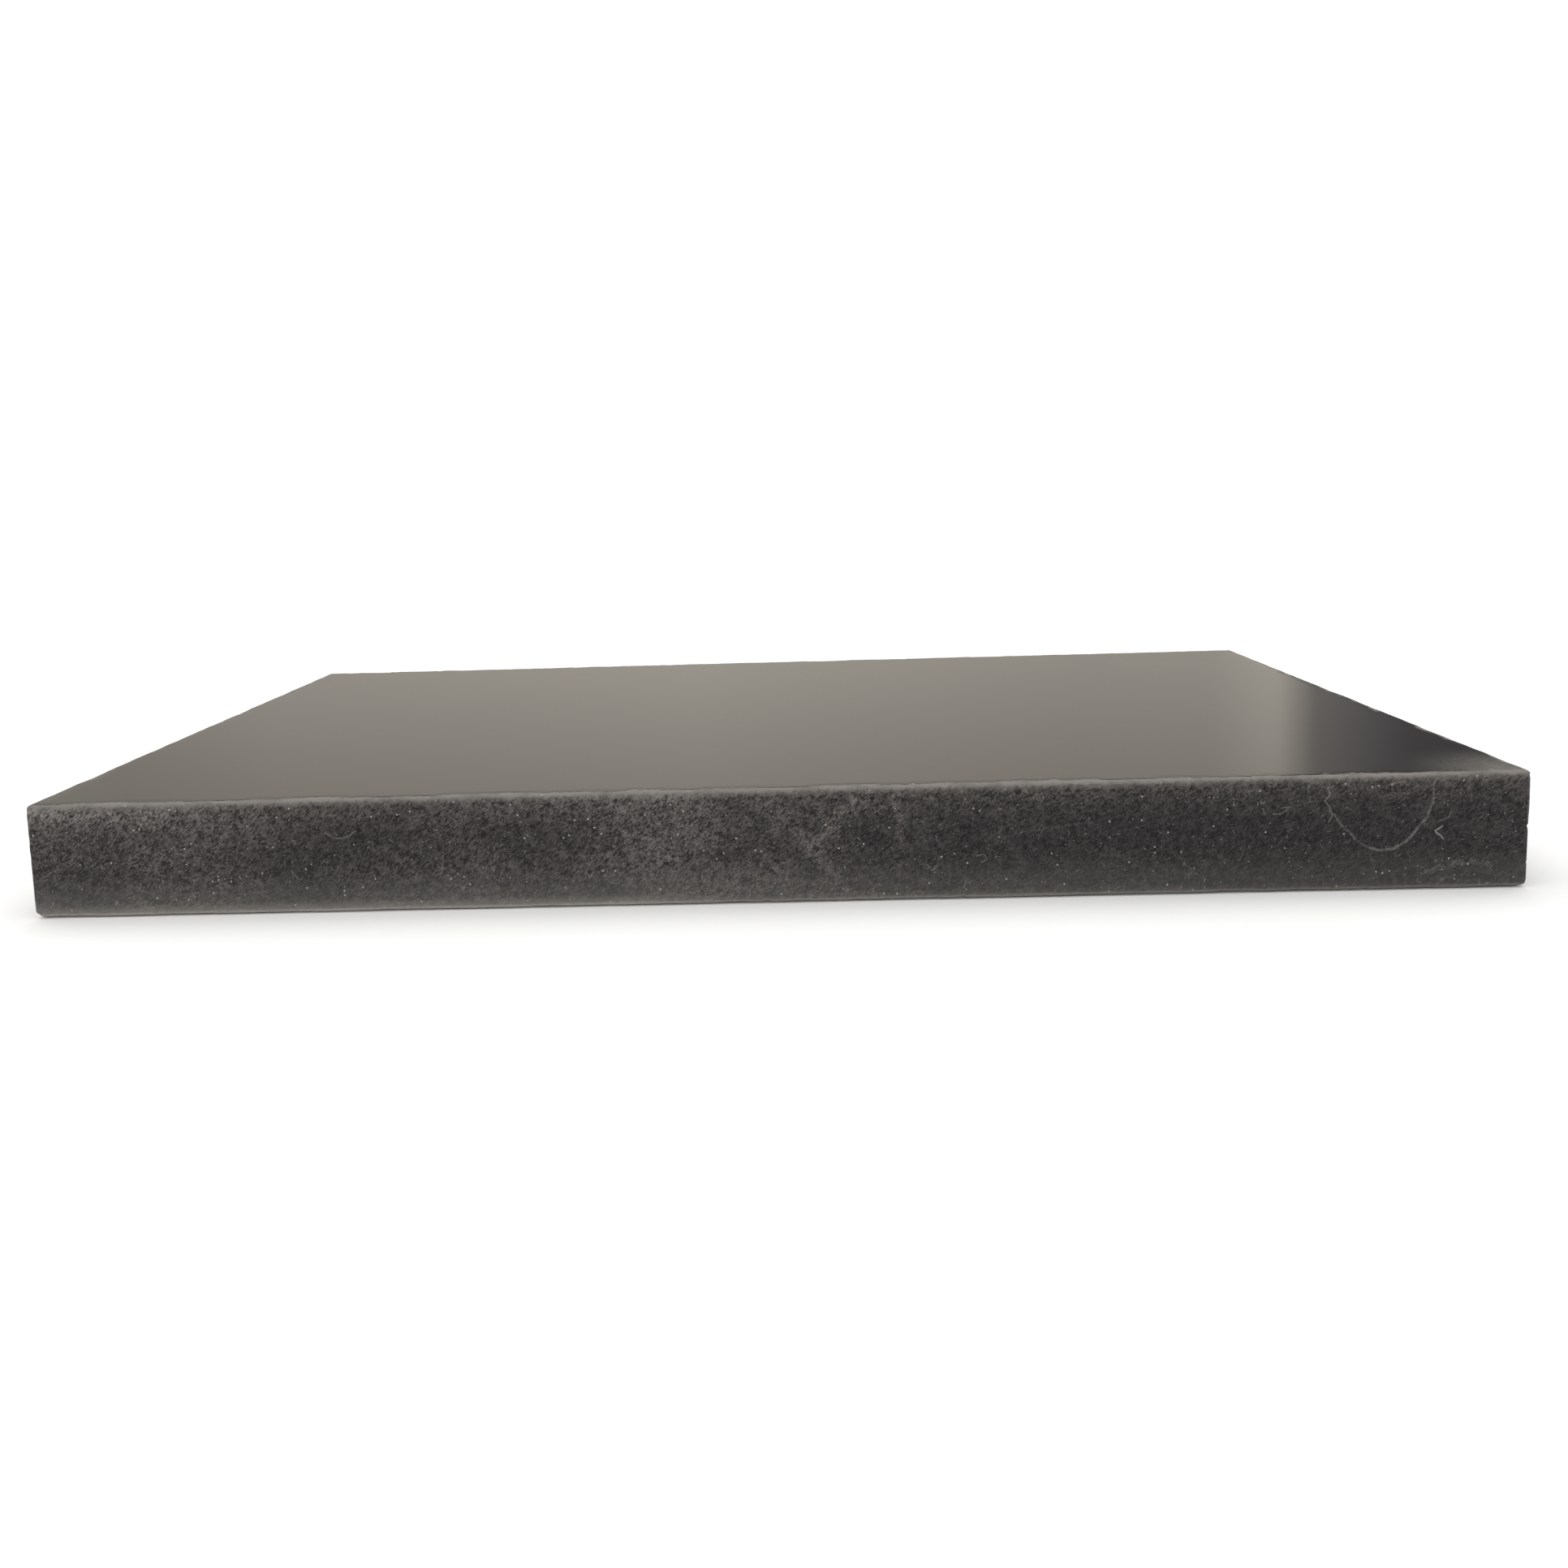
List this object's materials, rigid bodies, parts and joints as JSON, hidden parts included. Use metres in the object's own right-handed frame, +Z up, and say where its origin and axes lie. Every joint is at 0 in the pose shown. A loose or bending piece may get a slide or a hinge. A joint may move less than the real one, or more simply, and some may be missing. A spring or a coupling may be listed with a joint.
{
  "type": "granite slab",
  "caption": "Rectangular black granite slab with a polished top and eased edges, a hard flat base for tooling, stamping and punching leather.",
  "frame": {"origin": "middle of the underside, on the surface that the slab lies on", "axes": "+X along the long side, +Y from the front face seen in the picture to the back, +Z up through the polished face"},
  "size_m": [0.3048, 0.2032, 0.024],
  "materials": {
    "black_granite": "polished top, honed sides with ground, dusty, paler eased edges, sawn underside"
  },
  "bodies": {
    "root": {"granite_slab": "black_granite"}
  },
  "joints": []
}
